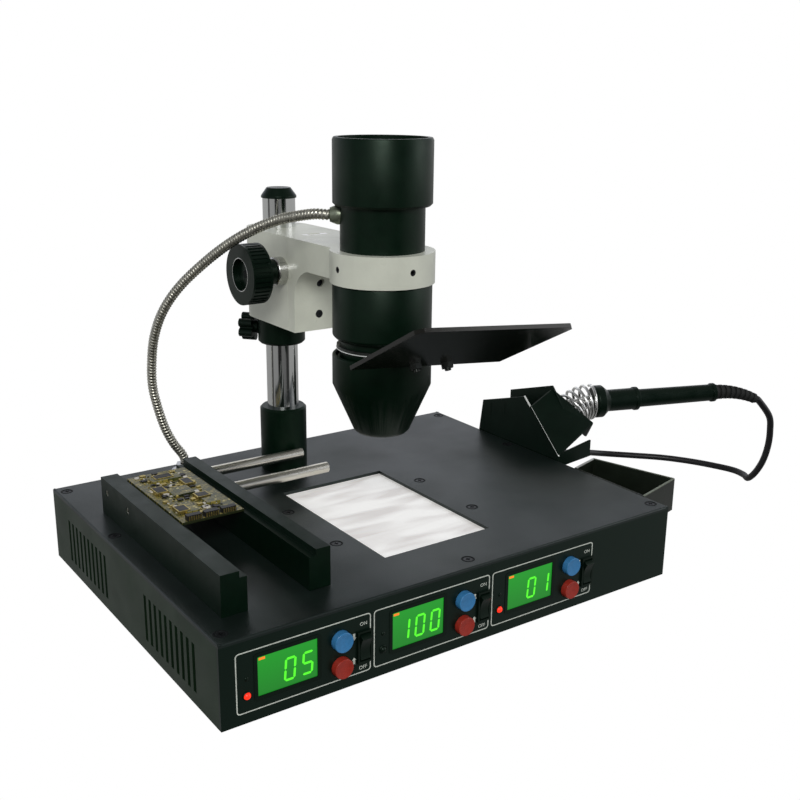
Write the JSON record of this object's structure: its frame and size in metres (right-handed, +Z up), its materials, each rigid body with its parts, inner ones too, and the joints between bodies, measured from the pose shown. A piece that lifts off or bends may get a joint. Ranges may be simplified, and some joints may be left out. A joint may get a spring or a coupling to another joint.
{
  "type": "bga rework station",
  "caption": "Benchtop infrared rework station with a heated window, panel controls, focusing lamp head on a column, board clamp and soldering iron stand.",
  "frame": {"origin": "on the bench plane under the centre of the base case", "axes": "+Z up, front panel towards -Y, iron stand towards +X"},
  "size_m": [0.5606, 0.2845, 0.302],
  "materials": {
    "case_black": "satin black powder coat",
    "cover_black": "satin black powder coat",
    "panel_black": "matt black front panel film",
    "rubber_black": "matt",
    "screw_black": "blackened steel",
    "heater_white": "white ceramic glass",
    "tray_steel": "stainless sheet",
    "ceramic": "ceramic",
    "core_steel": "varnished laminations",
    "pcb_green": "solder mask",
    "display_dark": "tinted display window",
    "black_plastic": "moulded plastic",
    "blue_plastic": "moulded plastic",
    "red_plastic": "moulded plastic",
    "plated": "nickel plated",
    "chrome_tube": "polished chrome",
    "black_alu": "black anodised",
    "cast_cream": "cream white enamel",
    "steel": "ground steel",
    "hose_steel": "interlocked steel hose",
    "tinted": "dark tinted acrylic",
    "lens": "clear glass",
    "reflector": "bright reflector",
    "board": "printed board",
    "cord_black": "smooth jacket"
  },
  "bodies": {
    "base": {"chassis": "case_black", "top_cover": "cover_black", "front_panel": "panel_black", "rubber_feet": "rubber_black", "cover_screws": "screw_black", "heater_plate": "heater_white", "heater_tray": "tray_steel", "heater_tubes": "ceramic", "transformer": "core_steel", "control_board": "pcb_green", "display_windows": "display_dark", "rocker_frames": "black_plastic", "mains_inlet": "black_plastic", "hose_gland": "plated", "iron_socket": "plated", "column_socket": "black_alu", "column_tube": "chrome_tube", "column_cap": "black_plastic", "tool_tray": "case_black", "iron_holder": "case_black", "holder_spring": "steel", "armoured_hose": "hose_steel", "iron_plug": "plated"},
    "fixture": {"left_bar": "black_alu", "guide_rods": "steel"},
    "clamp": {"sliding_bar": "black_alu"},
    "board": {"sample_board": "board"},
    "collar": {"height_collar": "black_alu"},
    "collar_lock_knob": {"collar_knob": "black_plastic"},
    "arm": {"focus_mount": "cast_cream", "pinion_bushes": "plated"},
    "mount_lock_screw": {"mount_lock_knob": "black_plastic"},
    "focus_drive": {"pinion_shaft": "steel", "focus_knobs": "black_plastic"},
    "head": {"ring_carriage": "cast_cream", "rack_slide": "steel", "head_screws": "plated", "upper_barrel": "black_alu", "lamp_cap": "black_alu", "lower_barrel": "black_alu", "lamp_bulb": "lens", "lamp_reflector": "reflector", "hose_fitting": "plated"},
    "nozzle": {"nozzle_cup": "black_alu", "focus_lens": "lens"},
    "shield": {"clip_ring": "plated", "glare_shield": "tinted"},
    "iron": {"iron_handle": "black_plastic", "iron_barrel": "steel", "iron_boot": "rubber_black", "iron_cord": "cord_black"},
    "switch_1": {"rocker_1": "black_plastic"},
    "up_1": {"up_button_1": "blue_plastic"},
    "down_1": {"down_button_1": "red_plastic"},
    "switch_2": {"rocker_2": "black_plastic"},
    "up_2": {"up_button_2": "blue_plastic"},
    "down_2": {"down_button_2": "red_plastic"},
    "switch_3": {"rocker_3": "black_plastic"},
    "up_3": {"up_button_3": "blue_plastic"},
    "down_3": {"down_button_3": "red_plastic"}
  },
  "joints": [
    {"name": "height_slide", "type": "slide", "parent": "base", "child": "collar", "axis": [0, 0, 1], "range_m": [-0.03, 0.015], "deforming": ["armoured_hose"]},
    {"name": "arm_swivel", "type": "hinge", "parent": "collar", "child": "arm", "pos_m": [-0.01, 0.085, 0.172], "axis": [0, 0, -1], "range_deg": [-40, 40]},
    {"name": "focus_slide", "type": "slide", "parent": "arm", "child": "head", "axis": [0, 0, 1], "range_m": [-0.012, 0.012]},
    {"name": "focus_turn", "type": "hinge", "parent": "arm", "child": "focus_drive", "pos_m": [-0.01, 0.041, 0.2115], "axis": [1, 0, 0], "range_deg": [-138, 138]},
    {"name": "collar_lock", "type": "hinge", "parent": "collar", "child": "collar_lock_knob", "pos_m": [-0.01, 0.085, 0.1611], "axis": [-0.6428, 0.766, 0], "range_deg": [-180, 0]},
    {"name": "mount_lock", "type": "hinge", "parent": "arm", "child": "mount_lock_screw", "pos_m": [-0.01, 0.1, 0.193], "axis": [0, 1, 0], "range_deg": [-180, 0]},
    {"name": "nozzle_slide", "type": "slide", "parent": "head", "child": "nozzle", "axis": [0, 0, 1], "range_m": [-0.004, 0.002]},
    {"name": "shield_turn", "type": "hinge", "parent": "head", "child": "shield", "pos_m": [-0.01, -0.045, 0.175], "axis": [0, 0, 1], "range_deg": [-60, 45]},
    {"name": "fixture_slide", "type": "slide", "parent": "base", "child": "fixture", "axis": [0.9781, -0.2079, 0], "range_m": [0, 0.12]},
    {"name": "clamp_slide", "type": "slide", "parent": "fixture", "child": "clamp", "axis": [1, 0, 0], "range_m": [0, 0.055]},
    {"name": "board_slide", "type": "slide", "parent": "fixture", "child": "board", "axis": [0, -1, 0], "range_m": [0, 0.075]},
    {"name": "iron_lift", "type": "slide", "parent": "base", "child": "iron", "axis": [0.9296, -0.3681, 0.0175], "range_m": [0, 0.12]},
    {"name": "switch_1_turn", "type": "hinge", "parent": "base", "child": "switch_1", "pos_m": [-0.0803, -0.131, 0.0269], "axis": [1, 0, 0], "range_deg": [-18, 0]},
    {"name": "up_1_press", "type": "slide", "parent": "base", "child": "up_1", "axis": [0, 1, 0], "range_m": [0, 0.0015], "stiffness_N_per_m": 400},
    {"name": "down_1_press", "type": "slide", "parent": "base", "child": "down_1", "axis": [0, 1, 0], "range_m": [0, 0.0015], "stiffness_N_per_m": 400},
    {"name": "switch_2_turn", "type": "hinge", "parent": "base", "child": "switch_2", "pos_m": [0.0067, -0.131, 0.0269], "axis": [1, 0, 0], "range_deg": [-18, 0]},
    {"name": "up_2_press", "type": "slide", "parent": "base", "child": "up_2", "axis": [0, 1, 0], "range_m": [0, 0.0015], "stiffness_N_per_m": 400},
    {"name": "down_2_press", "type": "slide", "parent": "base", "child": "down_2", "axis": [0, 1, 0], "range_m": [0, 0.0015], "stiffness_N_per_m": 400},
    {"name": "switch_3_turn", "type": "hinge", "parent": "base", "child": "switch_3", "pos_m": [0.0937, -0.131, 0.0269], "axis": [1, 0, 0], "range_deg": [-18, 0]},
    {"name": "up_3_press", "type": "slide", "parent": "base", "child": "up_3", "axis": [0, 1, 0], "range_m": [0, 0.0015], "stiffness_N_per_m": 400},
    {"name": "down_3_press", "type": "slide", "parent": "base", "child": "down_3", "axis": [0, 1, 0], "range_m": [0, 0.0015], "stiffness_N_per_m": 400}
  ],
  "couplings": [
    {"joint": "focus_turn", "follows": "focus_slide", "rad_per_m": -200}
  ]
}
